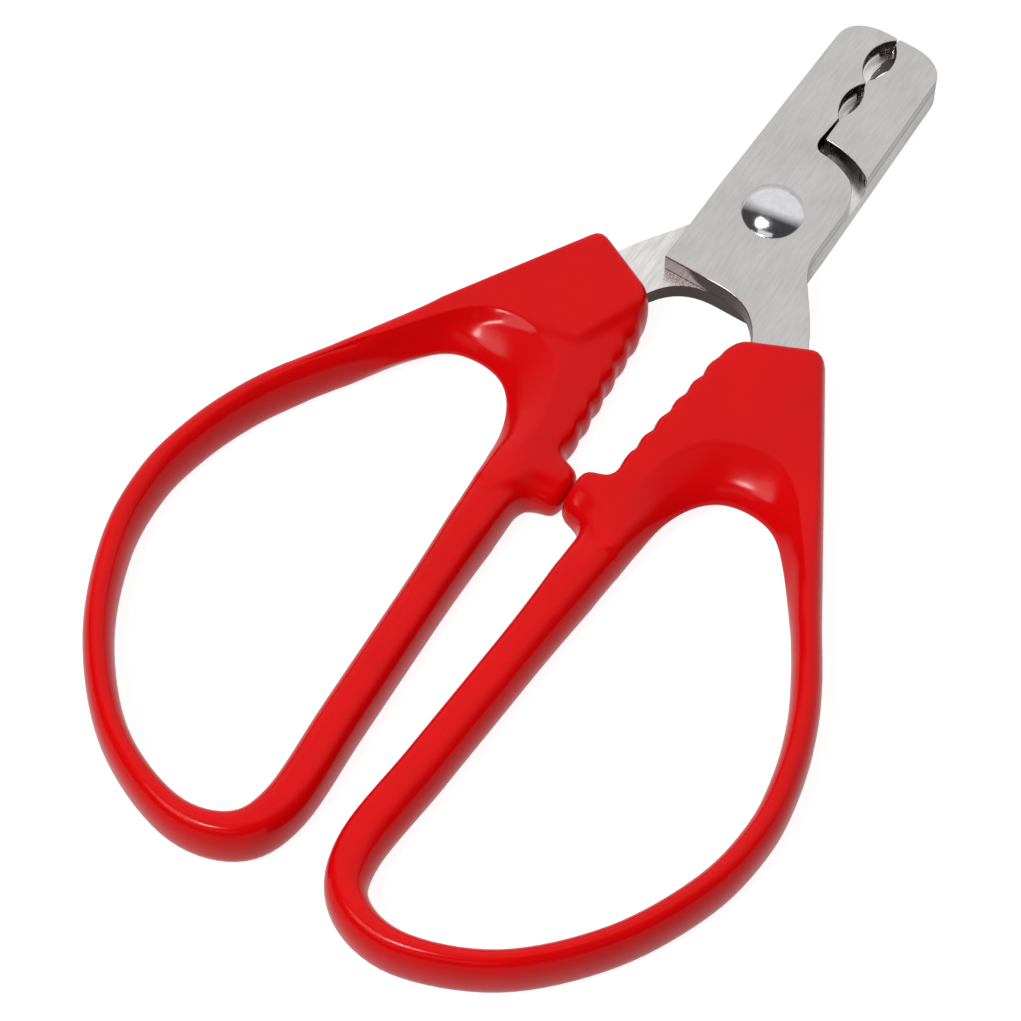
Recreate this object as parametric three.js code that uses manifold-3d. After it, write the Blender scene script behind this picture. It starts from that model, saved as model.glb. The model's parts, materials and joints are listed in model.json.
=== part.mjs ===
// Scissor nail clipper, closed. Two identical steel blades, one turned over on the other, turn on a domed
// rivet. Each blade is twice as thick at the jaw as at the pivot and tang, and its tang sits in a moulded bow
// handle.
// Millimetres, +Z up. Seen from above the jaws point along +Y. The model is drawn round the pivot axis and is
// then moved so that its origin is in the middle of its underside.
import * as THREE from 'three';
import { mergeVertices } from 'three/addons/utils/BufferGeometryUtils.js';
import Module from 'manifold-3d';

const wasm = await Module();
wasm.setup();

// Overall sizes, measured from the pivot axis.
const tipReach = 29;
const bowReach = 102.5;
const halfWidth = 42.2;

// Blades.
const lapThickness = 2.5;
const lapGap = 0.1;
const headHalfWidth = 7.2;
const tipHalfWidth = 6.6;
const headFoot = 12.1;
const tipCornerRadius = 3.4;
const tipCornerSpread = 1.4;
const tipCornerFullness = 0.6;
const noseRadius = 0.4;
const lobeRadius = 10.1;
const lobeSetback = 1.3;
const lobeFillet = 1.6;
const lobeEndAngle = THREE.MathUtils.degToRad(58);
const lobeBlendTop = 6.7;
const lobeBlendFoot = 3.4;
const edgeRelief = 0.3;
const shoulderGap = 1.8;
const edgeClearance = 0.15;
const shearOverlap = 0.3;
const notchRadius = 4.3;
const outerNotch = { centre: 25, upperDepth: 1.8, lowerDepth: 1.25 };
const innerNotch = { centre: 18.3, upperDepth: 1.1, lowerDepth: 0.8 };

// Tangs. The tang leaves the head at an angle and is sunk in the handle as far as the finger hole allows.
const tangWidth = 6.6;
const tangEndWidth = 4.8;
const tangAngle = THREE.MathUtils.degToRad(26);
const tangEntry = new THREE.Vector2(10.3, -15.2);
const tangAnchorRadius = 1.6;
const tangAnchorSetback = 6.6;
const neckStart = 2.4;
const neckHollow = 6;
const neckSweep = 7;
const footSweep = 3.9;
const footFlat = 3.2;

// Handles.
const endFaceAngle = THREE.MathUtils.degToRad(24.5);
const sideWall = 1.75;
const coverWall = 1.15;
const pocketClearance = 0.3;
const pocketOverrun = 3.5;
const thinBar = 3.5;
const thickBar = 5.2;
const barFlare = 0.8;
const closedBarGap = 4.6;
const thickeningStart = 0.5;
const thickeningEnd = 0.75;
const flareStart = 0.88;
const edgeRoundWidth = 1.2;
const edgeRoundHeight = 2.6;
const endCornerRadius = 1.8;
const fingerHoleWall = 4.5;
const stopClearance = 0.1;
const stopLength = 6.2;
const stopAboveBar = 2.2;
const stopFillet = 1.8;
const gripSetback = 0.6;
const gripLobes = 7;
const gripLobeDepth = 0.45;
const stepsPerLobe = 4;

// Rivet and its washer.
const rivetRadius = 2;
const rivetClearance = 0.1;
const rivetHeadOverhang = 1.7;
const rivetHeadHeight = 1.75;
const rivetTailOverhang = 0.7;
const rivetTailHeight = 0.5;
const burrWidth = 1.4;
const burrThickness = 0.6;
const seatGap = 0.05;

// Sizes that follow from the ones above.
const plateBottom = lapGap / 2;
const plateTop = plateBottom + lapThickness;
const stepRadius = lobeRadius + shoulderGap;
const upperEdge = -shearOverlap / 2 - edgeClearance;
const lowerEdge = shearOverlap / 2;
const handleThickness = 2 * (plateTop + pocketClearance + coverWall);
const shankEndWidth = tangWidth + 2 * (pocketClearance + sideWall);
const bowSpan = halfWidth - thinBar / 2;
const bowLength = bowReach - thinBar / 2;

// How finely curves are cut into straight steps.
const arcSteps = 10;
const pinSteps = 20;
const bowSteps = 40;
const crownSteps = 24;
const turnedSteps = 40;

const steel = new THREE.MeshStandardMaterial({ color: 0xbebcba, roughness: 0.35, metalness: 1 });
const polishedSteel = new THREE.MeshStandardMaterial({ color: 0xd8d8da, roughness: 0.12, metalness: 1 });
const redPlastic = new THREE.MeshStandardMaterial({ color: 0xdc1418, roughness: 0.25, metalness: 0 });

function toSolid(geometry) {
  const bare = geometry.clone();
  bare.deleteAttribute('normal');
  bare.deleteAttribute('uv');
  const merged = mergeVertices(bare, 1e-4);
  return new wasm.Manifold(new wasm.Mesh({
    numProp: 3,
    vertProperties: new Float32Array(merged.attributes.position.array),
    triVerts: new Uint32Array(merged.index.array),
  }));
}

function toGeometry(solid) {
  const mesh = solid.getMesh();
  const geometry = new THREE.BufferGeometry();
  geometry.setAttribute('position', new THREE.BufferAttribute(new Float32Array(mesh.vertProperties), 3));
  geometry.setIndex(new THREE.BufferAttribute(new Uint32Array(mesh.triVerts), 1));
  geometry.computeVertexNormals();
  return geometry;
}

// A flat slab of a shape between two heights.
function slab(shape, bottom, top, curveSegments = 8) {
  const geometry = new THREE.ExtrudeGeometry(shape, {
    depth: top - bottom,
    bevelEnabled: false,
    curveSegments,
  });
  return geometry.translate(0, 0, bottom);
}

function pin(centre, radius, bottom, top) {
  const shape = new THREE.Shape();
  shape.absarc(centre.x, centre.y, radius, 0, 2 * Math.PI);
  return slab(shape, bottom, top, pinSteps);
}

function polar(radius, angle) {
  return new THREE.Vector2(radius * Math.cos(angle), radius * Math.sin(angle));
}

// Half the width of the head at a distance from the pivot: it tapers slightly towards the tip.
function headSide(y) {
  return THREE.MathUtils.lerp(headHalfWidth, tipHalfWidth, Math.max(y, 0) / tipReach);
}

// ---- Lines of the bow --------------------------------------------------------------------------------

// How far the inner bar's middle line keeps from the clipper's middle plane at its nearest.
const innerBarOffset = thickBar / 2 + closedBarGap / 2;

// A point of the bow: its share of the way from the inner bar to the outer bar, and of the bow's reach.
function bowPoint([across, along]) {
  return new THREE.Vector2(THREE.MathUtils.lerp(innerBarOffset, bowSpan, across), -along * bowLength);
}

// Middle line of the bow, from the outer bar round the far end and back up the inner bar.
const bowLine = new THREE.SplineCurve([
  [0.756, 0.439], [0.835, 0.484], [0.911, 0.537], [0.971, 0.602], [0.998, 0.676], [0.958, 0.765],
  [0.814, 0.869], [0.574, 0.957], [0.284, 0.999], [0.078, 0.983], [0, 0.925],
  [0.016, 0.806], [0.032, 0.692], [0.049, 0.566], [0.058, 0.487],
].map(bowPoint));

// The finger hole's edge nearest the pivot, between the inner and the outer bar.
const holeCrown = [
  [0.152, 0.45], [0.173, 0.405], [0.219, 0.37], [0.288, 0.349],
  [0.385, 0.343], [0.482, 0.352], [0.575, 0.384],
].map(bowPoint);

// ---- Blade -------------------------------------------------------------------------------------------

// The outer side of the jaw, its rounded tip and its nose, ending at the top of the cutting edge.
function drawJawTip(shape, edge) {
  const cornerStart = tipReach - tipCornerRadius;
  const cornerWidth = tipCornerSpread * tipCornerRadius;
  shape.lineTo(-headSide(cornerStart), cornerStart);
  shape.bezierCurveTo(
    -tipHalfWidth, cornerStart + tipCornerFullness * tipCornerRadius,
    -tipHalfWidth + (1 - tipCornerFullness) * cornerWidth, tipReach,
    -tipHalfWidth + cornerWidth, tipReach,
  );
  shape.lineTo(edge - noseRadius, tipReach);
  shape.quadraticCurveTo(edge, tipReach, edge, tipReach - noseRadius);
}

// The cutting edge from the nose towards the pivot, with a round notch for the nail to lie in at each centre.
function drawNotch(shape, edge, centre, depth) {
  const halfAngle = Math.acos((notchRadius - depth) / notchRadius);
  const across = edge - depth + notchRadius;
  shape.absarc(across, centre, notchRadius, Math.PI - halfAngle, Math.PI + halfAngle, false);
}

const tangDirection = new THREE.Vector2(Math.sin(tangAngle), -Math.cos(tangAngle));
const tangSide = new THREE.Vector2(Math.cos(tangAngle), Math.sin(tangAngle));

function tangPoint(along, across) {
  return tangEntry.clone().addScaledVector(tangDirection, along).addScaledVector(tangSide, across);
}

// The finger hole's nearest point to the pivot sets how deep the tang can go.
const fingerHoleTop = Math.max(...holeCrown.map((point) => point.y));
const tangDepth = (tangEntry.y - fingerHoleWall - fingerHoleTop) / Math.cos(tangAngle);
const tangAnchor = tangPoint(tangDepth - tangAnchorSetback, 0);

// The sunk stretch of the tang, from the handle's end face to its rounded end, grown by a clearance.
function drawSunkTang(shape, clearance) {
  const half = tangWidth / 2 + clearance;
  const endHalf = tangEndWidth / 2 + clearance;
  const straight = tangDepth - tangEndWidth / 2;
  const outerEntry = tangPoint(0, half);
  const outerEnd = tangPoint(straight, endHalf);
  const endCorner = tangPoint(tangDepth + clearance, endHalf);
  const endMiddle = tangPoint(tangDepth + clearance, 0);
  const innerCorner = tangPoint(tangDepth + clearance, -endHalf);
  const innerEnd = tangPoint(straight, -endHalf);
  const innerEntry = tangPoint(0, -half);
  shape.lineTo(outerEntry.x, outerEntry.y);
  shape.lineTo(outerEnd.x, outerEnd.y);
  shape.quadraticCurveTo(endCorner.x, endCorner.y, endMiddle.x, endMiddle.y);
  shape.quadraticCurveTo(innerCorner.x, innerCorner.y, innerEnd.x, innerEnd.y);
  shape.lineTo(innerEntry.x, innerEntry.y);
}

// Upper layer of the blade: jaw on the left, round lobe over the pivot, tang to the lower right.
function lapPlateShape() {
  const lobeStart = Math.acos((upperEdge + lobeSetback) / lobeRadius);
  const lobeCorner = polar(lobeRadius, lobeStart);
  const reliefEdge = upperEdge - edgeRelief;
  const neckControl = tangPoint(-neckSweep, tangWidth / 2);
  const tangOuter = tangPoint(0, tangWidth / 2);
  const footControl = tangPoint(-footSweep, -tangWidth / 2);
  const shape = new THREE.Shape();
  shape.moveTo(-headHalfWidth, -headFoot);
  shape.lineTo(-headHalfWidth, 0);
  drawJawTip(shape, upperEdge);
  drawNotch(shape, upperEdge, outerNotch.centre, outerNotch.upperDepth);
  drawNotch(shape, upperEdge, innerNotch.centre, innerNotch.upperDepth);
  shape.lineTo(reliefEdge, lobeRadius + lobeFillet);
  shape.quadraticCurveTo(reliefEdge, lobeCorner.y, lobeCorner.x, lobeCorner.y);
  shape.absarc(0, 0, lobeRadius, lobeStart, lobeEndAngle, true);
  shape.quadraticCurveTo(headHalfWidth, lobeBlendTop, headHalfWidth, lobeBlendFoot);
  shape.lineTo(headHalfWidth, -neckStart);
  shape.bezierCurveTo(headHalfWidth, -neckHollow, neckControl.x, neckControl.y, tangOuter.x, tangOuter.y);
  drawSunkTang(shape, 0);
  shape.bezierCurveTo(footControl.x, footControl.y, footFlat, -headFoot, 0, -headFoot);
  shape.lineTo(-headHalfWidth, -headFoot);
  return shape;
}

// Angle at which the round shoulder meets the tapered side of the head.
function shoulderSideAngle() {
  const taper = (headHalfWidth - tipHalfWidth) / tipReach;
  const lean = Math.atan(taper);
  return Math.PI - lean - Math.acos((headHalfWidth * Math.cos(lean)) / stepRadius);
}

// The jaw alone, which stops at a round shoulder clear of the other blade's lobe.
function jawShape(edge, outerDepth, innerDepth) {
  const edgeAngle = Math.acos(edge / stepRadius);
  const edgeCorner = polar(stepRadius, edgeAngle);
  const sideAngle = shoulderSideAngle();
  const sideCorner = polar(stepRadius, sideAngle);
  const shape = new THREE.Shape();
  shape.moveTo(sideCorner.x, sideCorner.y);
  drawJawTip(shape, edge);
  drawNotch(shape, edge, outerNotch.centre, outerDepth);
  drawNotch(shape, edge, innerNotch.centre, innerDepth);
  shape.lineTo(edgeCorner.x, edgeCorner.y);
  shape.absarc(0, 0, stepRadius, edgeAngle, sideAngle, false);
  return shape;
}

// The plate's jaw and the lower jaw are joined by a core that keeps to the shape they share, so that the
// lower jaw's lip can pass under the other blade's.
function bladeGeometry() {
  const lowerJawShape = jawShape(lowerEdge, outerNotch.lowerDepth, innerNotch.lowerDepth);
  const coreShape = jawShape(upperEdge, outerNotch.upperDepth, innerNotch.upperDepth);
  const plate = toSolid(slab(lapPlateShape(), plateBottom, plateTop, arcSteps));
  const lowerJaw = toSolid(slab(lowerJawShape, -plateTop, -plateBottom, arcSteps));
  const core = toSolid(slab(coreShape, -lapThickness / 2, lapThickness / 2, arcSteps));
  const pivot = new THREE.Vector2(0, 0);
  const pivotHole = toSolid(pin(pivot, rivetRadius + rivetClearance, 0, 2 * plateTop));
  const anchorHole = toSolid(pin(tangAnchor, tangAnchorRadius, 0, 2 * plateTop));
  return toGeometry(plate.add(lowerJaw).add(core).subtract(pivotHole).subtract(anchorHole));
}

// ---- Handle ------------------------------------------------------------------------------------------

// The bar is thin round the outside and thick along the inside, and flares where it meets the shank. Where
// this happens is a share of the bow line's length.
function barWidth(share) {
  const thickening = THREE.MathUtils.smoothstep(share, thickeningStart, thickeningEnd);
  const flare = barFlare * THREE.MathUtils.smoothstep(share, flareStart, 1);
  return THREE.MathUtils.lerp(thinBar, thickBar, thickening) + flare;
}

// One side of the bow's bar: side is +1 for its outer edge and -1 for the edge of the finger hole.
function bowEdge(side) {
  const points = [];
  for (let step = 0; step <= bowSteps; step += 1) {
    const share = step / bowSteps;
    const tangent = bowLine.getTangent(share);
    const outward = new THREE.Vector2(-tangent.y, tangent.x);
    points.push(bowLine.getPoint(share).addScaledVector(outward, (side * barWidth(share)) / 2));
  }
  return points;
}

// The finger hole runs the other way round from the handle's outline, as a hole in a shape does.
function fingerHolePoints() {
  const bar = bowEdge(-1);
  const crown = new THREE.SplineCurve([bar[bowSteps], ...holeCrown, bar[0]]);
  return [...bar, ...crown.getPoints(crownSteps).slice(1, -1)].reverse();
}

// Finger grips: a row of shallow round lobes between two points, with a crease between each two.
function gripPoints(from, to) {
  const steps = gripLobes * stepsPerLobe;
  const along = to.clone().sub(from);
  const outward = new THREE.Vector2(-along.y, along.x).normalize();
  const points = [];
  for (let step = 0; step <= steps; step += 1) {
    const share = step / steps;
    const bulge = gripLobeDepth * Math.abs(Math.sin(Math.PI * gripLobes * share));
    points.push(from.clone().addScaledVector(along, share).addScaledVector(outward, bulge));
  }
  return points;
}

function lineThrough(shape, points) {
  points.forEach((point) => shape.lineTo(point.x, point.y));
}

// The right handle seen from above: end face, straight outer side, bow, closing stop and finger grips.
function handleShape() {
  const faceDirection = new THREE.Vector2(Math.cos(endFaceAngle), Math.sin(endFaceAngle));
  const outerCorner = tangEntry.clone().addScaledVector(faceDirection, shankEndWidth / 2);
  const innerCorner = tangEntry.clone().addScaledVector(faceDirection, -shankEndWidth / 2);
  const outerEdge = bowEdge(1);
  const outerSide = outerEdge[0].clone().sub(outerCorner).normalize();
  const faceStart = innerCorner.clone().addScaledVector(faceDirection, endCornerRadius);
  const faceEnd = outerCorner.clone().addScaledVector(faceDirection, -endCornerRadius);
  const sideStart = outerCorner.clone().addScaledVector(outerSide, endCornerRadius);
  const barTop = outerEdge[bowSteps];
  const stopLow = barTop.y + stopAboveBar;
  const stopHigh = stopLow + stopLength;
  const gripStart = new THREE.Vector2(barTop.x - gripSetback, stopHigh + stopFillet);

  const shape = new THREE.Shape();
  shape.moveTo(faceStart.x, faceStart.y);
  shape.lineTo(faceEnd.x, faceEnd.y);
  shape.quadraticCurveTo(outerCorner.x, outerCorner.y, sideStart.x, sideStart.y);
  lineThrough(shape, outerEdge);
  shape.quadraticCurveTo(barTop.x, stopLow, barTop.x - stopFillet, stopLow);
  shape.quadraticCurveTo(stopClearance, stopLow, stopClearance, stopLow + stopFillet);
  shape.lineTo(stopClearance, stopHigh - stopFillet);
  shape.quadraticCurveTo(stopClearance, stopHigh, stopClearance + stopFillet, stopHigh);
  shape.quadraticCurveTo(gripStart.x, stopHigh, gripStart.x, gripStart.y);
  lineThrough(shape, gripPoints(gripStart, innerCorner).slice(1, 1 - stepsPerLobe));
  shape.quadraticCurveTo(innerCorner.x, innerCorner.y, faceStart.x, faceStart.y);
  shape.holes.push(new THREE.Path(fingerHolePoints()));
  return shape;
}

// The slot that the tang fills, open at the handle's end face.
function pocketShape() {
  const mouthHalf = tangWidth / 2 + pocketClearance;
  const mouthInner = tangPoint(-pocketOverrun, -mouthHalf);
  const mouthOuter = tangPoint(-pocketOverrun, mouthHalf);
  const shape = new THREE.Shape();
  shape.moveTo(mouthInner.x, mouthInner.y);
  shape.lineTo(mouthOuter.x, mouthOuter.y);
  drawSunkTang(shape, pocketClearance);
  shape.lineTo(mouthInner.x, mouthInner.y);
  return shape;
}

// The plastic fills the tang's anchor hole, so a post crosses the slot there.
function handleGeometry() {
  const body = new THREE.ExtrudeGeometry(handleShape(), {
    depth: handleThickness - 2 * edgeRoundHeight,
    bevelEnabled: true,
    bevelSize: edgeRoundWidth,
    bevelOffset: -edgeRoundWidth,
    bevelThickness: edgeRoundHeight,
    bevelSegments: 2,
    curveSegments: 4,
  });
  body.translate(0, 0, edgeRoundHeight - handleThickness / 2);
  const slotBottom = plateBottom - pocketClearance;
  const slotTop = plateTop + pocketClearance;
  const slot = toSolid(slab(pocketShape(), slotBottom, slotTop));
  const postRadius = tangAnchorRadius - pocketClearance;
  const post = toSolid(pin(tangAnchor, postRadius, slotBottom - coverWall / 2, slotTop + coverWall / 2));
  return toGeometry(toSolid(body).subtract(slot).add(post));
}

// ---- Rivet -------------------------------------------------------------------------------------------

// Points of a dome from its rim to its crown, as part of a profile turned round the Z axis.
function domeProfile(radius, rimHeight, crownHeight, steps) {
  const points = [];
  for (let step = 0; step <= steps; step += 1) {
    const angle = (0.5 * Math.PI * step) / steps;
    const rise = (crownHeight - rimHeight) * Math.sin(angle);
    points.push(new THREE.Vector2(step === steps ? 0 : radius * Math.cos(angle), rimHeight + rise));
  }
  return points;
}

function turned(profile) {
  return new THREE.LatheGeometry(profile, turnedSteps).rotateX(Math.PI / 2);
}

function rivetGeometry() {
  const headSeat = plateTop + seatGap;
  const tailSeat = -plateTop - burrThickness - 2 * seatGap;
  const tailRadius = rivetRadius + rivetTailOverhang;
  const headRadius = rivetRadius + rivetHeadOverhang;
  const tail = domeProfile(tailRadius, tailSeat, tailSeat - rivetTailHeight, 4).reverse();
  const head = domeProfile(headRadius, headSeat, headSeat + rivetHeadHeight, 8);
  const shank = [new THREE.Vector2(rivetRadius, tailSeat), new THREE.Vector2(rivetRadius, headSeat)];
  return turned([...tail, ...shank, ...head]);
}

function burrGeometry() {
  const bore = rivetRadius + rivetClearance;
  const burrRadius = bore + burrWidth;
  const top = -plateTop - seatGap;
  const bottom = top - burrThickness;
  return turned([
    new THREE.Vector2(bore, bottom),
    new THREE.Vector2(burrRadius, bottom),
    new THREE.Vector2(burrRadius, top),
    new THREE.Vector2(bore, top),
    new THREE.Vector2(bore, bottom),
  ]);
}

// ---- Assembly ----------------------------------------------------------------------------------------

function piece(name, geometry, material) {
  const mesh = new THREE.Mesh(geometry, material);
  mesh.name = name;
  return mesh;
}

const blade = bladeGeometry();
const handle = handleGeometry();

const frontHalf = new THREE.Group();
frontHalf.add(piece('front_blade', blade, steel));
frontHalf.add(piece('right_handle', handle, redPlastic));

// The rear half is the same two pieces turned over about the clipper's long axis.
const rearHalf = new THREE.Group();
rearHalf.add(piece('rear_blade', blade, steel));
rearHalf.add(piece('left_handle', handle, redPlastic));
rearHalf.rotation.y = Math.PI;

const clipper = new THREE.Group();
clipper.add(frontHalf);
clipper.add(rearHalf);
clipper.add(piece('pivot_rivet', rivetGeometry(), polishedSteel));
clipper.add(piece('rivet_burr', burrGeometry(), polishedSteel));

const bounds = new THREE.Box3().setFromObject(clipper);
const middle = bounds.getCenter(new THREE.Vector3());
clipper.position.set(-middle.x, -middle.y, -bounds.min.z);

export default clipper;
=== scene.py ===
"""Looks of the scissor nail clipper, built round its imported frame. Metres, +Z up, the frame's own axes."""
import json
import math

import bpy
import numpy as np
from bpy.props import FloatProperty, FloatVectorProperty, IntProperty, PointerProperty
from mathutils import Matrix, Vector


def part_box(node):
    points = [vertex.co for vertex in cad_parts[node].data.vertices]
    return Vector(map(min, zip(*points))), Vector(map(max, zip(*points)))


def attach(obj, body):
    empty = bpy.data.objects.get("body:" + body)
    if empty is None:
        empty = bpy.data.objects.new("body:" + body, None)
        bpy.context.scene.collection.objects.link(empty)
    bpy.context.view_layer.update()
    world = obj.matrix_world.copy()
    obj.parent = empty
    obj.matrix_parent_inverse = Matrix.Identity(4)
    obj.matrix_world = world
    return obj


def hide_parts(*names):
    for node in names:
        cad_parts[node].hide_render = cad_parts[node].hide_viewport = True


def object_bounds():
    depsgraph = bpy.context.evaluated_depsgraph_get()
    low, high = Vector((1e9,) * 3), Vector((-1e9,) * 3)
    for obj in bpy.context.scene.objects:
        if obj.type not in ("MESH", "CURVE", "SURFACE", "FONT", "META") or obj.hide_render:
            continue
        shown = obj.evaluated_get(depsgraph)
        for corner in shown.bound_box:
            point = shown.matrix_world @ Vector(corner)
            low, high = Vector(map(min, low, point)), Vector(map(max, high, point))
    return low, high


bl_info = {
    "name": "Scissor Nail Clipper",
    "version": (1, 0, 0),
    "blender": (4, 5, 0),
    "location": "3D View > Sidebar > Clipper",
    "description": "Moulded bow handles, notched steel blades, rivet and studio for a scissor nail clipper",
    "category": "Object",
}

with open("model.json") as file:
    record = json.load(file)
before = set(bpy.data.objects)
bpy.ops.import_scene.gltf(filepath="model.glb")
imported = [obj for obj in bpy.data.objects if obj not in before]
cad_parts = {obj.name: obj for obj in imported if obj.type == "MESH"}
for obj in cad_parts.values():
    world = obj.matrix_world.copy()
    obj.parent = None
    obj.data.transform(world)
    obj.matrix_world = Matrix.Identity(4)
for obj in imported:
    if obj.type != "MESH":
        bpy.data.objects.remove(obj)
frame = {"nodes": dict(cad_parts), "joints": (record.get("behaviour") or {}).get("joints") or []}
cad_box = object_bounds()

MM = 0.001
PIVOT = Vector(frame["joints"][0]["pos_m"])
HANDLE_LOW, HANDLE_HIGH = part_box("right_handle")
BLADE_LOW, BLADE_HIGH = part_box("front_blade")
RIVET_LOW, RIVET_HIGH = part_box("pivot_rivet")
BURR_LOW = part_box("rivet_burr")[0]
JAW_HALF_WIDTH = -BLADE_LOW.x

CLOSE = 0.002 * MM
TINY = 1e-9
FAR = 1e9


# ---- Sizes and colours a user would change -----------------------------------------------------------

class HandleSizes(bpy.types.PropertyGroup):
    thin_bar: FloatProperty(name="Thin bar", description="Width of the bow's bar round the outside",
                            default=3.5 * MM, unit="LENGTH", precision=5)
    thick_bar: FloatProperty(name="Thick bar", description="Width of the bow's bar along the inside",
                             default=5.2 * MM, unit="LENGTH", precision=5)
    bar_flare: FloatProperty(name="Bar flare",
                             description="Extra width where the inner bar meets the shank",
                             default=0.8 * MM, unit="LENGTH", precision=5)
    edge_round: FloatProperty(name="Edge round",
                              description="Width of the rounding along the shank's edges",
                              default=1.2 * MM, unit="LENGTH", precision=5)
    scoop_drop: FloatProperty(name="Scoop drop",
                              description="Depth of the hollow round the top of the finger hole",
                              default=2.7 * MM, unit="LENGTH", precision=5)
    grip_drop: FloatProperty(name="Grip drop",
                             description="How far the face beside the finger grips slopes down",
                             default=1.7 * MM, unit="LENGTH", precision=5)
    pad_drop: FloatProperty(name="Pad drop",
                            description="Height of the flat pad over the tang above the ridge",
                            default=0.4 * MM, unit="LENGTH", precision=5)
    knob_drop: FloatProperty(name="Knob drop",
                             description="How far the stop's face falls below the shank",
                             default=0.8 * MM, unit="LENGTH", precision=5)
    grip_lobes: IntProperty(name="Grip lobes", description="Rounded lobes along the finger grip", default=7)
    lobe_depth: FloatProperty(name="Lobe depth", description="Height of a grip lobe above its crease",
                              default=0.45 * MM, unit="LENGTH", precision=5)


class BladeSizes(bpy.types.PropertyGroup):
    edge_round: FloatProperty(name="Edge round",
                              description="Rounding along the blanked edges of the blades",
                              default=0.18 * MM, unit="LENGTH", precision=5)


class RivetSizes(bpy.types.PropertyGroup):
    rim_height: FloatProperty(name="Rim height", description="Upright rim below the rivet's dome",
                              default=0.15 * MM, unit="LENGTH", precision=5)
    shank_radius: FloatProperty(name="Shank radius", description="Radius of the rivet's shank",
                                default=2.0 * MM, unit="LENGTH", precision=5)
    tail_radius: FloatProperty(name="Tail radius",
                               description="Radius of the peened tail under the burr",
                               default=2.7 * MM, unit="LENGTH", precision=5)


class FinishColours(bpy.types.PropertyGroup):
    red: FloatVectorProperty(name="Handle red", description="Colour of the moulded handles",
                             subtype="COLOR", size=3, default=(0.74, 0.002, 0.003))
    steel: FloatVectorProperty(name="Blade steel", description="Colour of the satin blades",
                               subtype="COLOR", size=3, default=(0.62, 0.60, 0.59))
    chrome: FloatVectorProperty(name="Rivet steel", description="Colour of the polished rivet",
                                subtype="COLOR", size=3, default=(0.78, 0.78, 0.80))
    floor: FloatVectorProperty(name="Floor", description="Colour of the pale floor",
                               subtype="COLOR", size=3, default=(0.25, 0.25, 0.25))


# ---- Small helpers -----------------------------------------------------------------------------------

def deselect_all():
    if bpy.context.mode != "OBJECT":
        bpy.ops.object.mode_set(mode="OBJECT")
    bpy.ops.object.select_all(action="DESELECT")


def activate(piece):
    deselect_all()
    piece.select_set(True)
    bpy.context.view_layer.objects.active = piece


def node_copy(node, name):
    """A merged copy of a CAD node's mesh as a new object."""
    piece = bpy.data.objects.new(name, frame["nodes"][node].data.copy())
    piece.data.name = name
    bpy.context.scene.collection.objects.link(piece)
    piece.data.materials.clear()
    activate(piece)
    bpy.ops.object.mode_set(mode="EDIT")
    bpy.ops.mesh.select_all(action="SELECT")
    bpy.ops.mesh.remove_doubles(threshold=CLOSE)
    bpy.ops.mesh.dissolve_limited(angle_limit=math.radians(0.5))
    bpy.ops.object.mode_set(mode="OBJECT")
    return piece


def apply_all(piece):
    activate(piece)
    for modifier in list(piece.modifiers):
        bpy.ops.object.modifier_apply(modifier=modifier.name)


def hand_over(piece, body, node, material):
    piece.data.materials.clear()
    piece.data.materials.append(material)
    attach(piece, body)
    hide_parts(node)


def new_material(name):
    material = bpy.data.materials.new(name)
    material.use_nodes = True
    nodes = material.node_tree.nodes
    nodes.clear()
    output = nodes.new("ShaderNodeOutputMaterial")
    shader = nodes.new("ShaderNodeBsdfPrincipled")
    material.node_tree.links.new(shader.outputs["BSDF"], output.inputs["Surface"])
    return material, nodes, material.node_tree.links, shader


def object_noise(nodes, links, scale, stretch=(1, 1, 1), detail=4.0, turn=0.0):
    """Noise in object coordinates, per metre, stretched along an axis and turned about Z."""
    place = nodes.new("ShaderNodeTexCoord")
    mapping = nodes.new("ShaderNodeMapping")
    mapping.inputs["Scale"].default_value = stretch
    mapping.inputs["Rotation"].default_value = (0, 0, turn)
    noise = nodes.new("ShaderNodeTexNoise")
    noise.inputs["Scale"].default_value = scale
    noise.inputs["Detail"].default_value = detail
    links.new(place.outputs["Object"], mapping.inputs["Vector"])
    links.new(mapping.outputs["Vector"], noise.inputs["Vector"])
    return noise


def ramp(nodes, links, source, low, high, low_colour, high_colour):
    """Colour ramp from one colour at the low value of a source to another at the high value."""
    node = nodes.new("ShaderNodeValToRGB")
    node.color_ramp.elements[0].position = low
    node.color_ramp.elements[1].position = high
    node.color_ramp.elements[0].color = (*low_colour, 1)
    node.color_ramp.elements[1].color = (*high_colour, 1)
    links.new(source, node.inputs["Fac"])
    return node


def value_range(nodes, links, source, low, high, start=0.0, end=1.0):
    """A value that runs from low to high while its source runs from start to end."""
    node = nodes.new("ShaderNodeMapRange")
    node.inputs["From Min"].default_value = start
    node.inputs["From Max"].default_value = end
    node.inputs["To Min"].default_value = low
    node.inputs["To Max"].default_value = high
    links.new(source, node.inputs["Value"])
    return node


def bump(nodes, links, source, strength, distance):
    node = nodes.new("ShaderNodeBump")
    node.inputs["Strength"].default_value = strength
    node.inputs["Distance"].default_value = distance
    links.new(source, node.inputs["Height"])
    return node


def absolute(nodes, links, source):
    node = nodes.new("ShaderNodeMath")
    node.operation = "ABSOLUTE"
    links.new(source, node.inputs[0])
    return node


def product(nodes, links, first, second):
    node = nodes.new("ShaderNodeMath")
    node.operation = "MULTIPLY"
    links.new(first, node.inputs[0])
    links.new(second, node.inputs[1])
    return node


def blended(nodes, links, factor, first, second):
    """One colour mixed into another by a factor."""
    node = nodes.new("ShaderNodeMix")
    node.data_type = "RGBA"
    links.new(factor, node.inputs["Factor"])
    for source, name in ((first, "A"), (second, "B")):
        if isinstance(source, tuple):
            node.inputs[name].default_value = (*source, 1)
        else:
            links.new(source, node.inputs[name])
    return node


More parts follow.
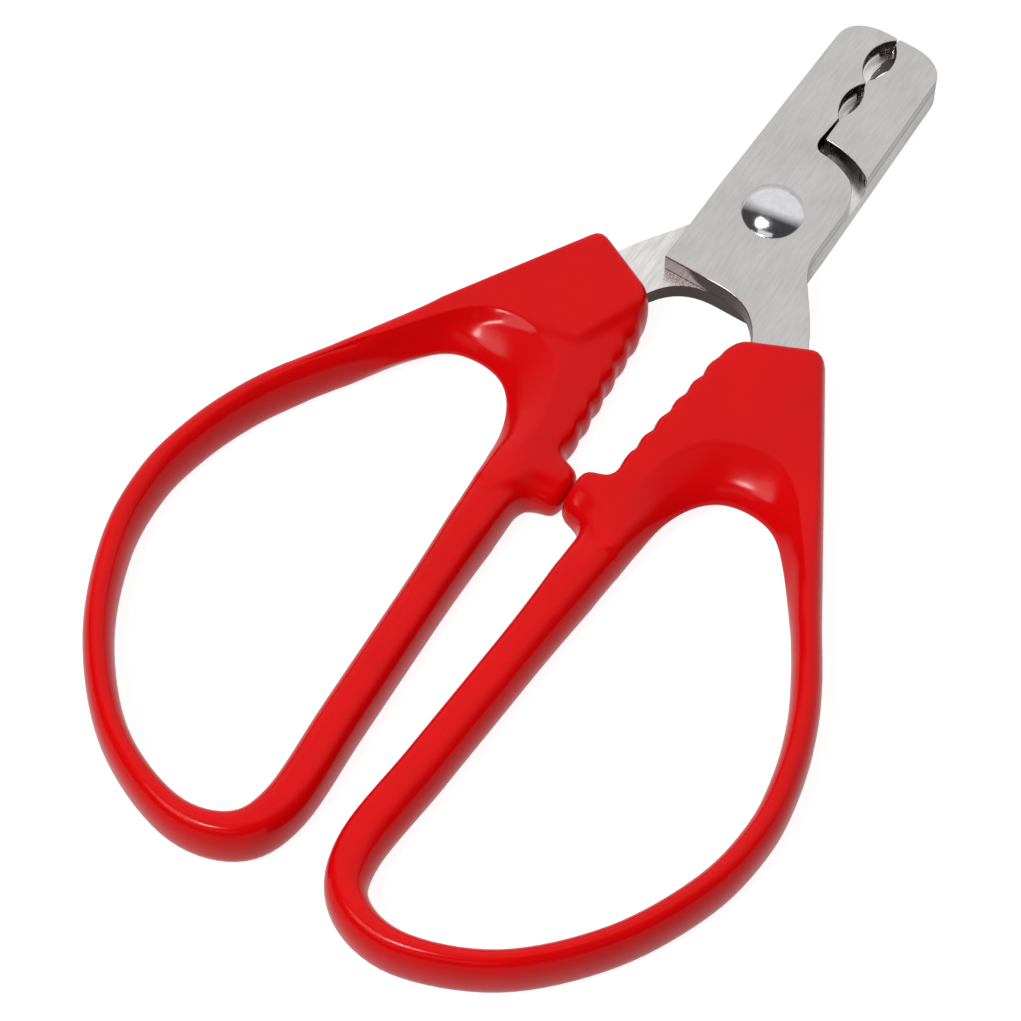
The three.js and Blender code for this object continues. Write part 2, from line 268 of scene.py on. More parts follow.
def shade(colour, factor):
    return tuple(min(1.0, channel * factor) for channel in colour)


# ---- Finishes ----------------------------------------------------------------------------------------

PLASTIC_ROUGHNESS = (0.13, 0.21)
STEEL_ROUGHNESS = (0.18, 0.34)
RIVET_ROUGHNESS = (0.08, 0.2)
GRAIN_SCALE = 2600
GRAIN_STRETCH = (1.0, 0.12, 1.0)
CLOUD_SHARE = 0.45


def glossy_plastic(colour):
    """Injection-moulded gloss plastic: even colour, a faint flow mottle and an orange-peel skin."""
    material, nodes, links, shader = new_material("gloss_red_plastic")
    mottle = object_noise(nodes, links, 90, detail=3)
    tint = ramp(nodes, links, mottle.outputs["Fac"], 0.3, 0.75, shade(colour, 0.93), shade(colour, 1.04))
    links.new(tint.outputs["Color"], shader.inputs["Base Color"])
    wear = object_noise(nodes, links, 420, detail=5)
    gloss = value_range(nodes, links, wear.outputs["Fac"], *PLASTIC_ROUGHNESS)
    links.new(gloss.outputs["Result"], shader.inputs["Roughness"])
    peel = object_noise(nodes, links, 700, detail=2)
    skin = bump(nodes, links, peel.outputs["Fac"], 0.12, 0.02 * MM)
    links.new(skin.outputs["Normal"], shader.inputs["Normal"])
    shader.inputs["IOR"].default_value = 1.5
    shader.inputs["Specular IOR Level"].default_value = 0.15
    return material


# The jaws' outer walls are left out of the painted wall shade: how far they lie off the middle, and where
# the jaws start.
UNSHADED_SIDE = (JAW_HALF_WIDTH - 1.4 * MM, JAW_HALF_WIDTH - 0.4 * MM)
UNSHADED_START = (PIVOT.y - 6 * MM, PIVOT.y - 2 * MM)

# Below these heights a blade's upper face, the floor of the lap, is coloured paler.
RECESS_HEIGHTS = (PIVOT.z + 0.3 * MM, PIVOT.z + 1.0 * MM)

SEAM_HEIGHT = PIVOT.z + 1.1 * MM
SEAM_HALF_WIDTH = (0.06 * MM, 0.14 * MM)
SEAM_SHADE = 0.12
# Painted shade: the upright walls, except the jaws' outer sides, are darkened to these shares of the steel
# colour.
PAINTED_WALL_SHADE = (0.13, 0.095, 0.1)


def wall_share(nodes, links):
    """1 on an upright wall and 0 on a flat face."""
    geometry = nodes.new("ShaderNodeNewGeometry")
    split = nodes.new("ShaderNodeSeparateXYZ")
    links.new(geometry.outputs["Normal"], split.inputs["Vector"])
    upright = absolute(nodes, links, split.outputs["Z"])
    return value_range(nodes, links, upright.outputs["Value"], 1.0, 0.0, 0.2, 0.75)


def wall_shade_reach(nodes, links, where):
    """Where the painted wall shade reaches: 0 at the jaws' outer sides and 1 elsewhere."""
    off_middle = absolute(nodes, links, where.outputs["X"])
    outside = value_range(nodes, links, off_middle.outputs["Value"], 0.0, 0.9, *UNSHADED_SIDE)
    on_jaw = value_range(nodes, links, where.outputs["Y"], 0.0, 1.0, *UNSHADED_START)
    outer_side = product(nodes, links, outside.outputs["Result"], on_jaw.outputs["Result"])
    return value_range(nodes, links, outer_side.outputs["Value"], 1.0, 0.0)


def seam_share(nodes, links, where):
    """The joint line of the two stamped layers, at one height round a blade."""
    off_seam = nodes.new("ShaderNodeMath")
    off_seam.operation = "SUBTRACT"
    links.new(where.outputs["Z"], off_seam.inputs[0])
    off_seam.inputs[1].default_value = SEAM_HEIGHT
    gap = absolute(nodes, links, off_seam.outputs["Value"])
    return value_range(nodes, links, gap.outputs["Value"], 0.85, 0.0, *SEAM_HALF_WIDTH)


def satin_steel(colour):
    """Ground stainless steel: fine grain along the blade, with painted shade darkening the upright walls."""
    material, nodes, links, shader = new_material("satin_blade_steel")
    grain = object_noise(nodes, links, GRAIN_SCALE, stretch=GRAIN_STRETCH, detail=3)
    cloud = object_noise(nodes, links, 160, detail=4)
    mix = nodes.new("ShaderNodeMix")
    mix.data_type = "FLOAT"
    mix.inputs["Factor"].default_value = CLOUD_SHARE
    links.new(grain.outputs["Fac"], mix.inputs["A"])
    links.new(cloud.outputs["Fac"], mix.inputs["B"])
    brushing = mix.outputs["Result"]
    place = nodes.new("ShaderNodeTexCoord")
    where = nodes.new("ShaderNodeSeparateXYZ")
    links.new(place.outputs["Object"], where.inputs["Vector"])
    face = ramp(nodes, links, brushing, 0.3, 0.72, shade(colour, 0.86), shade(colour, 1.1))
    pale = ramp(nodes, links, brushing, 0.3, 0.6, shade(colour, 1.0), shade(colour, 1.45))
    recess = value_range(nodes, links, where.outputs["Z"], 1.0, 0.0, *RECESS_HEIGHTS)
    tops = blended(nodes, links, recess.outputs["Result"], face.outputs["Color"], pale.outputs["Color"])
    wall = wall_share(nodes, links)
    shade_reach = wall_shade_reach(nodes, links, where)
    wall_shade_mask = product(nodes, links, wall.outputs["Result"], shade_reach.outputs["Result"])
    # Painted shade: the upright walls are darkened to a near-black mauve.
    wall_shade_colour = tuple(channel * share for channel, share in zip(colour, PAINTED_WALL_SHADE))
    walls = blended(nodes, links, wall_shade_mask.outputs["Value"], tops.outputs["Result"], wall_shade_colour)
    seam = seam_share(nodes, links, where)
    seam_wall = product(nodes, links, seam.outputs["Result"], wall.outputs["Result"])
    dark = shade(colour, SEAM_SHADE)
    steel = blended(nodes, links, seam_wall.outputs["Value"], walls.outputs["Result"], dark)
    links.new(steel.outputs["Result"], shader.inputs["Base Color"])
    rough = value_range(nodes, links, brushing, *STEEL_ROUGHNESS)
    links.new(rough.outputs["Result"], shader.inputs["Roughness"])
    brushed = bump(nodes, links, grain.outputs["Fac"], 0.25, 0.012 * MM)
    links.new(brushed.outputs["Normal"], shader.inputs["Normal"])
    shader.inputs["Metallic"].default_value = 1.0
    return material


def polished_steel(colour):
    """Polished rivet steel with faint hairlines."""
    material, nodes, links, shader = new_material("polished_rivet_steel")
    hairline = object_noise(nodes, links, 1500, detail=4)
    tint = ramp(nodes, links, hairline.outputs["Fac"], 0.35, 0.7, shade(colour, 0.94), shade(colour, 1.05))
    links.new(tint.outputs["Color"], shader.inputs["Base Color"])
    gloss = value_range(nodes, links, hairline.outputs["Fac"], *RIVET_ROUGHNESS)
    links.new(gloss.outputs["Result"], shader.inputs["Roughness"])
    shader.inputs["Metallic"].default_value = 1.0
    return material


# ---- Lines of the handle, in metres from the pivot ---------------------------------------------------

BOW_STEPS = 110
SHANK_STEPS = 145
CROWN_STEPS = 240

# Middle line of the bow, from the outer bar round the far end and back up the inner bar. Each point is a
# share of the way from the inner bar to the outer bar, and of the bow's reach.
BOW_LINE = [
    (0.756, 0.439), (0.835, 0.484), (0.911, 0.537), (0.971, 0.602), (0.998, 0.676), (0.958, 0.765),
    (0.814, 0.869), (0.574, 0.957), (0.284, 0.999), (0.078, 0.983), (0, 0.925),
    (0.016, 0.806), (0.032, 0.692), (0.049, 0.566), (0.058, 0.487),
]

# The finger hole's edge nearest the pivot, between the inner and the outer bar, in the same shares.
HOLE_CROWN = [
    (0.152, 0.45), (0.173, 0.405), (0.219, 0.37), (0.288, 0.349),
    (0.385, 0.343), (0.482, 0.352), (0.575, 0.384),
]

# How far round the shank's outline a section starts, and how far round the hole's crown it ends.
OUTLINE_SHARES = np.array((0, 8, 14.5, 25, 36, 47, 59, 71, 82)) / 82
CROWN_SHARES = np.array((0, 0.1, 0.23, 0.37, 0.46, 0.58, 0.70, 0.84, 1))

# The scoop's width round the crown. It is widest above the hole and dies out into each bar.
SCOOP_SHARES = np.array((0, 0.12, 0.25, 0.4, 0.55, 0.7, 0.85, 1))
SCOOP_WIDTHS = np.array((2.9, 3.4, 4.6, 6.4, 6.3, 5.2, 3.0, 1.75)) * MM
SCOOP_RISE = (0.0, 0.3)
SCOOP_FADE = (0.8, 1.0)

# Where the bow's bar thickens and flares, as shares of its middle line.
BAR_THICKENS = (0.5, 0.75)
BAR_FLARES = (0.88, 1)
INNER_BAR_GAP = 2.3 * MM

# The crease from the end face's inner corner down to the stop, where the slope beside the grips starts.
GRIP_CREASE = np.array((
    (4.9, -15.5), (6.2, -18.4), (9.7, -27.3), (8.6, -34), (6.9, -39.5), (5.8, -44), (5.4, -49),
)) * MM
SLOPE_SHARE = 0.42
SLOPE_POWER = 1.15

# The lower end of the flat pad over the tang, where a soft step points down the ridge.
PAD_END = np.array((
    (4.0, -14), (9.7, -27.3), (14.4, -28.2), (18.2, -28.9), (21.6, -30.6), (25.2, -34), (29, -40),
)) * MM
PAD_STEP_WIDTH = 1.6 * MM

# The arc past which the stop's face falls away, as a low knob.
KNOB_EDGE = np.array(((8, -50), (5.6, -46.6), (4.7, -44.6), (2.6, -43.6), (-1, -43.4))) * MM
KNOB_STEP_WIDTH = 1.8 * MM

# How far below the pivot each of these starts or fades out.
SLOPE_START = (15 * MM, 18 * MM)
SLOPE_FADE = (44 * MM, 50 * MM)
PAD_FADE = (41 * MM, 49 * MM)
KNOB_FADE = (47 * MM, 52 * MM)

# The hollow deepens from the scoop's edge: a soft start, then partly straight and partly curved.
HOLLOW_START = (0, 0.12)
HOLLOW_STRAIGHT = 0.62
HOLLOW_CURVED = 0.38

# A bar this slim is round all the way across. Past the slim width its edges are rounded on their own.
SLIM_HALF_WIDTH = 1.75 * MM
SLIM_CHANGE = 1.2 * MM
HOLE_EDGE_ROUND = 1.9 * MM
OUTER_EDGE_POWER = 2.3
HOLE_EDGE_POWER = 2.1

TANG_ENTRY = np.array((10.3, -15.2)) * MM
END_FACE_ANGLE = math.radians(24.5)
END_FACE_WIDTH = 10.7 * MM
END_CORNER = 1.8 * MM
STOP_CLEARANCE = 0.1 * MM
STOP_ABOVE_BAR = 2.2 * MM
STOP_LENGTH = 6.2 * MM
STOP_FILLET = 1.8 * MM
GRIP_SETBACK = 0.6 * MM
GRIP_CREASE_SOFTNESS = 0.02


def sizes():
    return bpy.context.scene.clipper_handle


def smooth(x, low, high):
    """Rises softly from 0 at low to 1 at high."""
    share = np.clip((np.asarray(x, float) - low) / (high - low), 0, 1)
    return share * share * (3 - 2 * share)


def spline(points, shares):
    """Points at shares of a smooth curve that passes through every given point."""
    points = np.asarray(points, float)
    last = len(points) - 1
    places = np.asarray(shares) * last
    index = np.minimum(places.astype(int), last - 1)
    t = (places - index)[:, None]
    before = points[np.maximum(index - 1, 0)]
    start = points[index]
    end = points[index + 1]
    after = points[np.minimum(index + 2, last)]
    leave = (end - before) / 2
    arrive = (after - start) / 2
    cubic = 2 * start - 2 * end + leave + arrive
    square = -3 * start + 3 * end - 2 * leave - arrive
    return cubic * t ** 3 + square * t ** 2 + leave * t + start


def straight(start, end, steps):
    """Points from start to end, without the first one."""
    return start + (end - start) * np.linspace(0, 1, steps + 1)[1:, None]


def arc(start, corner, end, steps=8):
    """A rounded corner from start to end, without its first point."""
    t = np.linspace(0, 1, steps + 1)[1:, None]
    return (1 - t) ** 2 * start + 2 * t * (1 - t) * corner + t * t * end


def bow_point(share):
    """A point of the bow from its shares of the way across and down."""
    thick_bar, thin_bar = sizes().thick_bar, sizes().thin_bar
    inner = thick_bar / 2 + INNER_BAR_GAP
    span = HANDLE_HIGH.x - thin_bar / 2
    reach = PIVOT.y - HANDLE_LOW.y - thin_bar / 2
    return (inner + (span - inner) * share[0], -reach * share[1])


def bar_width(shares):
    thickening = smooth(shares, *BAR_THICKENS)
    return sizes().thin_bar + (sizes().thick_bar - sizes().thin_bar) * thickening


def bow_edges(shares):
    """Outer and inner edge of the bow's bar at shares of its middle line."""
    line = [bow_point(share) for share in BOW_LINE]
    middle = spline(line, shares)
    step = 1e-4
    ahead = spline(line, np.minimum(shares + step, 1))
    behind = spline(line, np.maximum(shares - step, 0))
    along = ahead - behind
    along /= np.linalg.norm(along, axis=1)[:, None]
    outward = np.column_stack((-along[:, 1], along[:, 0]))
    width = bar_width(shares) + sizes().bar_flare * smooth(shares, *BAR_FLARES)
    half = width[:, None] / 2
    return middle + outward * half, middle - outward * half


def grip_line(start, end, steps=8):
    """Finger grips: a row of shallow lobes between two points, with a soft crease between each two."""
    lobes = sizes().grip_lobes
    share = np.linspace(0, 1, lobes * steps + 1)[1:1 - steps]
    along = end - start
    outward = np.array((-along[1], along[0])) / np.linalg.norm(along)
    wave = np.sqrt(np.sin(np.pi * lobes * share) ** 2 + GRIP_CREASE_SOFTNESS)
    bulge = sizes().lobe_depth * wave
    return start + share[:, None] * along + bulge[:, None] * outward


def shank_outline(bar_top, bar_start):
    """From the top of the inner bar round the stop, grips, end face and outer side to the outer bar."""
    face = np.array((math.cos(END_FACE_ANGLE), math.sin(END_FACE_ANGLE)))
    inner_corner = TANG_ENTRY - face * END_FACE_WIDTH / 2
    outer_corner = TANG_ENTRY + face * END_FACE_WIDTH / 2
    side = (bar_start - outer_corner) / np.linalg.norm(bar_start - outer_corner)
    stop_low = bar_top[1] + STOP_ABOVE_BAR
    stop_high = stop_low + STOP_LENGTH
    contact_low = np.array((STOP_CLEARANCE, stop_low + STOP_FILLET))
    contact_high = np.array((STOP_CLEARANCE, stop_high - STOP_FILLET))
    foot = np.array((bar_top[0] - STOP_FILLET, stop_low))
    shoulder = np.array((STOP_CLEARANCE + STOP_FILLET, stop_high))
    grip_start = np.array((bar_top[0] - GRIP_SETBACK, stop_high + STOP_FILLET))
    grips = grip_line(grip_start, inner_corner)
    face_start = inner_corner + face * END_CORNER
    face_end = outer_corner - face * END_CORNER
    side_start = outer_corner + side * END_CORNER
    return np.concatenate((
        [bar_top],
        arc(bar_top, np.array((bar_top[0], stop_low)), foot),
        arc(foot, np.array((STOP_CLEARANCE, stop_low)), contact_low),
        straight(contact_low, contact_high, 5),
        arc(contact_high, np.array((STOP_CLEARANCE, stop_high)), shoulder),
        arc(shoulder, np.array((grip_start[0], stop_high)), grip_start),
        grips,
        arc(grips[-1], inner_corner, face_start),
        straight(face_start, face_end, 23),
        arc(face_end, outer_corner, side_start),
        straight(side_start, bar_start, 59),
    ))


def lengths_along(points):
    steps = np.linalg.norm(np.diff(points, axis=0), axis=1)
    return np.concatenate(([0], np.cumsum(steps)))


def resample(points, places):
    run = lengths_along(points)
    return np.column_stack([np.interp(places, run, points[:, axis]) for axis in (0, 1)])


def distance_to(points, line):
    """Distance of each point from a closed line."""
    start = line
    end = np.roll(line, -1, axis=0)
    along = end - start
    squared = np.maximum((along ** 2).sum(1), TINY ** 2)
    nearest = np.full(len(points), FAR)
    for first, step, length in zip(start, along, squared):
        t = np.clip(((points - first) @ step) / length, 0, 1)
        gap = points - (first + t[:, None] * step)
        nearest = np.minimum(nearest, (gap ** 2).sum(1))
    return np.sqrt(nearest)


def side_of(points, line):
    """Signed distance from an open line: positive on its left."""
    nearest = np.full(len(points), FAR)
    signed = np.zeros(len(points))
    for first, last in zip(line[:-1], line[1:]):
        step = last - first
        t = np.clip(((points - first) @ step) / (step @ step), 0, 1)
        gap = points - (first + t[:, None] * step)
        reach = np.sqrt((gap ** 2).sum(1))
        sign = np.sign(step[0] * gap[:, 1] - step[1] * gap[:, 0])
        closer = reach < nearest
        signed = np.where(closer, reach * sign, signed)
        nearest = np.minimum(nearest, reach)
    return signed


def rounding(gap, width, power):
    """Share of the full height at a distance from an edge: 0 at the edge, 1 past the rounding."""
    inside = np.clip(gap / width, 0, 1)
    return (1 - (1 - inside) ** power) ** (1 / power)


# Sections across the handle: points on the rounded outer edge, over the pad, over the scoop and on the
# rounded inner edge.
OUTER_POINTS = 8
PAD_POINTS = 16
SCOOP_POINTS = 14
INNER_POINTS = 8
EDGE_ZONE_SHARE = 0.42
LEAST_ZONE_SHARE = 0.06
EDGE_CROWDING = 1.25


def handle_stations():
    """Matching points of the outline and of the finger hole all the way round, and the scoop's measures."""
    shares = np.linspace(0, 1, BOW_STEPS + 1)
    outer_bar, inner_bar = bow_edges(shares)
    outline = shank_outline(outer_bar[-1], outer_bar[0])
    crown_points = [bow_point(share) for share in HOLE_CROWN]
    crown_line = np.concatenate(([inner_bar[-1]], crown_points, [inner_bar[0]]))
    crown = spline(crown_line, np.linspace(0, 1, CROWN_STEPS))
    run = lengths_along(outline)
    places = np.linspace(0, run[-1], SHANK_STEPS + 1)[1:-1]
    outer_shank = resample(outline, places)
    crown_run = lengths_along(crown)
    crown_share = np.interp(places / run[-1], OUTLINE_SHARES, CROWN_SHARES)
    inner_shank = resample(crown, crown_share * crown_run[-1])
    outer = np.concatenate((outer_bar, outer_shank))
    inner = np.concatenate((inner_bar, inner_shank))
    scoop_shank = np.interp(crown_share, SCOOP_SHARES, SCOOP_WIDTHS)
    scoop = np.concatenate((bar_width(shares) / 2, scoop_shank))
    strength_shank = smooth(crown_share, *SCOOP_RISE) * (1 - smooth(crown_share, *SCOOP_FADE))
    strength = np.concatenate((np.zeros(len(shares)), strength_shank))
    in_shank = np.concatenate((np.zeros(len(shares)), np.ones(len(places))))
    return outer[::-1], inner[::-1], scoop[::-1], strength[::-1], in_shank[::-1]


def section_places(width, edge, scoop, in_shank):
    """Places along one section, from the outer edge to the hole's edge."""
    zone = EDGE_ZONE_SHARE * width
    if in_shank:
        zone = min(edge, zone)
    least = LEAST_ZONE_SHARE * width
    arch = max(min(width - scoop, width - zone - least), zone + least)
    turn = np.linspace(0, math.pi / 2, OUTER_POINTS + 1)
    rise = (1 - np.cos(turn)) ** EDGE_CROWDING
    outer = rise * zone
    pad = np.linspace(zone, arch, PAD_POINTS + 1)[1:]
    hollow = np.linspace(arch, width - zone, SCOOP_POINTS + 1)[1:]
    inner = width - rise[::-1][1:] * zone
    return np.concatenate((outer, pad, hollow, inner))


def handle_heights(points, scoop_share, strength, outline, hole, ridged):
    """Height of a face of the handle off its middle plane: one face is plain, the other has the ridge."""
    own = sizes()
    full = (HANDLE_HIGH.z - HANDLE_LOW.z) / 2
    outer_gap = distance_to(points, outline)
    inner_gap = distance_to(points, hole)
    below = -points[:, 1]
    depth = np.clip(1 - scoop_share, 0, 1)
    depth = depth * smooth(depth, *HOLLOW_START)
    hollow = own.scoop_drop * strength * depth * (HOLLOW_STRAIGHT + HOLLOW_CURVED * depth)
    past_knob = np.maximum(side_of(points, KNOB_EDGE), 0)
    fall = own.knob_drop * smooth(past_knob, 0, KNOB_STEP_WIDTH) * (1 - smooth(below, *KNOB_FADE))
    height = full - hollow - fall
    if ridged:
        past_crease = np.maximum(-side_of(points, GRIP_CREASE), 0)
        zone = past_crease + outer_gap
        slope = np.minimum(own.grip_drop, SLOPE_SHARE * zone)
        slope = slope * (past_crease / np.maximum(zone, TINY)) ** SLOPE_POWER
        slope = slope * smooth(below, *SLOPE_START) * (1 - smooth(below, *SLOPE_FADE))
        past_pad = np.maximum(-side_of(points, PAD_END), 0)
        step = own.pad_drop * smooth(past_pad, 0, PAD_STEP_WIDTH)
        step = step * (1 - smooth(below, *PAD_FADE))
        height = height - slope - step
    half = (outer_gap + inner_gap) / 2
    slim = np.clip((half - SLIM_HALF_WIDTH) / SLIM_CHANGE, 0, 1)
    outer_edge = half + (np.minimum(own.edge_round, half) - half) * slim
    hole_edge = half + (np.minimum(HOLE_EDGE_ROUND, half) - half) * slim
    outer_share = rounding(outer_gap, outer_edge, OUTER_EDGE_POWER)
    hole_share = rounding(inner_gap, hole_edge, HOLE_EDGE_POWER)
    return height * outer_share * hole_share


STOP_REACH = 2 * STOP_FILLET
JOINT_WIDTH = 5 * STOP_FILLET
JOINT_HEIGHT = 2.2 * STOP_FILLET
START_REACH = 3 * STOP_FILLET


def relax_corners(piece):
    """Even out the skin in the stop's corners and at the outer bar's start, where the sections crowd."""
    bar_start, bar_top = bow_edges(np.array((0.0, 1.0)))[0]
    stop_low = PIVOT.y + bar_top[1] - STOP_REACH
    stop_high = PIVOT.y + bar_top[1] + STOP_ABOVE_BAR + STOP_LENGTH + STOP_REACH
    for vertex in piece.data.vertices:
        x = vertex.co.x - PIVOT.x
        y = vertex.co.y - PIVOT.y
        past_bar = x - bar_top[0]
        at_stop = past_bar < STOP_REACH and stop_low < vertex.co.y < stop_high
        at_joint = past_bar < JOINT_WIDTH and abs(y - bar_top[1]) < JOINT_HEIGHT
        at_start = math.hypot(x - bar_start[0], y - bar_start[1]) < START_REACH
        vertex.select = bool(at_stop or at_joint or at_start)
    bpy.ops.object.mode_set(mode="EDIT")
    bpy.ops.mesh.vertices_smooth(factor=0.5, repeat=5)
    bpy.ops.object.mode_set(mode="OBJECT")


RING_RADIUS = 30 * MM
RING_THICKNESS = 5 * MM


def handle_mesh(name):
    """A ring round the finger hole, its sections running from the outline to the hole's edge and back."""
    outer, inner, scoop, strength, in_shank = handle_stations()
    stations = len(outer)
    top_points = OUTER_POINTS + PAD_POINTS + SCOOP_POINTS + INNER_POINTS
    ring_points = 2 * top_points
    deselect_all()
    bpy.ops.mesh.primitive_torus_add(major_segments=stations, minor_segments=ring_points,
                                     major_radius=RING_RADIUS, minor_radius=RING_THICKNESS)
    piece = bpy.context.object
    piece.name = name
    piece.data.name = name
    places = np.zeros((stations, top_points + 1))
    width = np.linalg.norm(inner - outer, axis=1)
    for i in range(stations):
        places[i] = section_places(width[i], sizes().edge_round, scoop[i], in_shank[i] > 0.5)
    share = places / width[:, None]
    flat = outer[:, None, :] + (inner - outer)[:, None, :] * share[:, :, None]
    scoop_share = (width[:, None] - places) / scoop[:, None]
    measures = (flat.reshape(-1, 2), scoop_share.ravel(), np.repeat(strength, top_points + 1), outer, inner)
    plain, ridged = [
        handle_heights(*measures, ridged=with_ridge).reshape(stations, top_points + 1)
        for with_ridge in (False, True)
    ]
    ring = np.zeros((stations, ring_points, 3))
    ring[:, :top_points + 1, :2] = flat
    ring[:, :top_points + 1, 2] = plain
    ring[:, top_points + 1:, :2] = flat[:, -2:0:-1]
    ring[:, top_points + 1:, 2] = -ridged[:, -2:0:-1]
    piece.data.vertices.foreach_set("co", (ring + np.array(PIVOT)).ravel())
    piece.data.update()
    activate(piece)
    bpy.ops.object.mode_set(mode="EDIT")
    bpy.ops.mesh.select_all(action="SELECT")
    bpy.ops.mesh.normals_make_consistent(inside=False)
    bpy.ops.mesh.select_all(action="DESELECT")
    bpy.ops.object.mode_set(mode="OBJECT")
    relax_corners(piece)
    bpy.ops.object.shade_smooth()
    return piece


def turned_over(piece, name):
    """A copy turned over about the clipper's long axis through the pivot."""
    twin = piece.copy()
    twin.data = piece.data.copy()
    twin.name = name
    twin.data.name = name
    bpy.context.scene.collection.objects.link(twin)
    places = np.zeros(len(twin.data.vertices) * 3)
    twin.data.vertices.foreach_get("co", places)
    places = places.reshape(-1, 3)
    places[:, 0] = 2 * PIVOT.x - places[:, 0]
    places[:, 2] = 2 * PIVOT.z - places[:, 2]
    twin.data.vertices.foreach_set("co", places.ravel())
    twin.data.update()
    return twin


# ---- Operators ---------------------------------------------------------------------------------------

class CLIPPER_OT_handles(bpy.types.Operator):
    """Model the two moulded bow handles"""

    bl_idname = "clipper.handles"
    bl_label = "Bow Handles"

    def execute(self, context):
        red = glossy_plastic(context.scene.clipper_finish.red)
        right = handle_mesh("right_bow_handle")
        left = turned_over(right, "left_bow_handle")
        hand_over(right, "front_half", "right_handle", red)
        hand_over(left, "rear_half", "left_handle", red)
        return {"FINISHED"}


RIM_TOLERANCE = 0.01 * MM
LEAST_FLAT = 0.9
MOST_UPRIGHT = 0.3


def round_rims(piece, width):
    """Round the edges between a blanked plate's outermost flat faces and its upright walls."""
    mesh = piece.data
    beside = {}
    for face in mesh.polygons:
        for key in face.edge_keys:
            beside.setdefault(key, []).append(abs(face.normal.z))
    activate(piece)
    bpy.ops.object.mode_set(mode="EDIT")
    bpy.ops.mesh.select_all(action="DESELECT")
    bpy.ops.mesh.select_mode(type="EDGE")
    bpy.ops.object.mode_set(mode="OBJECT")
    for edge in mesh.edges:
        rises = beside.get(edge.key, [])
        heights = [mesh.vertices[index].co.z for index in edge.vertices]
        at_top = min(heights) > BLADE_HIGH.z - RIM_TOLERANCE
        at_bottom = max(heights) < BLADE_LOW.z + RIM_TOLERANCE
        is_rim = len(rises) == 2 and max(rises) > LEAST_FLAT and min(rises) < MOST_UPRIGHT
        edge.select = is_rim and (at_top or at_bottom)
    bpy.ops.object.mode_set(mode="EDIT")
    bpy.ops.mesh.bevel(offset=width, segments=3, affect="EDGES", clamp_overlap=False)
    bpy.ops.mesh.select_mode(type="VERT")
    bpy.ops.object.mode_set(mode="OBJECT")


def keep_inside(piece, blank):
    """Pull back the corners that the rounding pushed outside the unrounded plate."""
    for vertex in piece.data.vertices:
        found, place, normal, _ = blank.closest_point_on_mesh(vertex.co)
        off = vertex.co - place
        if found and off.length > CLOSE and off.dot(normal) > -TINY:
            vertex.co = place


class CLIPPER_OT_blades(bpy.types.Operator):
    """Give the two steel blades their rounded blanked edges"""

    bl_idname = "clipper.blades"
    bl_label = "Steel Blades"

    def execute(self, context):
        steel = satin_steel(context.scene.clipper_finish.steel)
        own = context.scene.clipper_blade
        for node, body in (("front_blade", "front_half"), ("rear_blade", "rear_half")):
            piece = node_copy(node, node.replace("blade", "steel_blade"))
            round_rims(piece, own.edge_round)
            keep_inside(piece, frame["nodes"][node])
            bpy.ops.object.shade_smooth_by_angle(angle=math.radians(35))
            even = piece.modifiers.new("even_shading", "WEIGHTED_NORMAL")
            even.weight = 100
            even.keep_sharp = True
            apply_all(piece)
            hand_over(piece, body, node, steel)
        return {"FINISHED"}


HEAD_CHAMFER = 0.08 * MM
TIP_RADIUS = 0.02 * MM


def turned_piece(name, profile, segments=96):
    """A solid turned about the pivot: a circle extruded ring by ring along a profile of (radius, z)."""
    deselect_all()
    radius, height = profile[0]
    bpy.ops.mesh.primitive_circle_add(vertices=segments, radius=radius, fill_type="NGON",
                                      location=(PIVOT.x, PIVOT.y, height))
    piece = bpy.context.object
    piece.name = name
    piece.data.name = name
    bpy.ops.object.transform_apply(location=True, rotation=True, scale=True)
    bpy.ops.object.mode_set(mode="EDIT")
    bpy.ops.mesh.select_all(action="SELECT")
    for next_radius, next_height in profile[1:]:
        bpy.ops.mesh.extrude_region_move(TRANSFORM_OT_translate={"value": (0, 0, next_height - height)})
        grow = next_radius / radius
        bpy.ops.transform.resize(value=(grow, grow, 1), center_override=(PIVOT.x, PIVOT.y, next_height))
        radius, height = next_radius, next_height
    bpy.ops.mesh.select_all(action="SELECT")
    bpy.ops.mesh.normals_make_consistent(inside=False)
    bpy.ops.object.mode_set(mode="OBJECT")
    return piece


def dome(rim_radius, rim_height, top, steps):
    """Profile of a round dome from its rim to a tip too small to see."""
    rise = top - rim_height
    ball = (rim_radius ** 2 + rise ** 2) / (2 * rise)
    reach = math.asin(rim_radius / ball)
    turns = [reach * (1 - step / steps) for step in range(1, steps)]
    points = [(ball * math.sin(turn), top - ball * (1 - math.cos(turn))) for turn in turns]
    return points + [(TIP_RADIUS, top)]


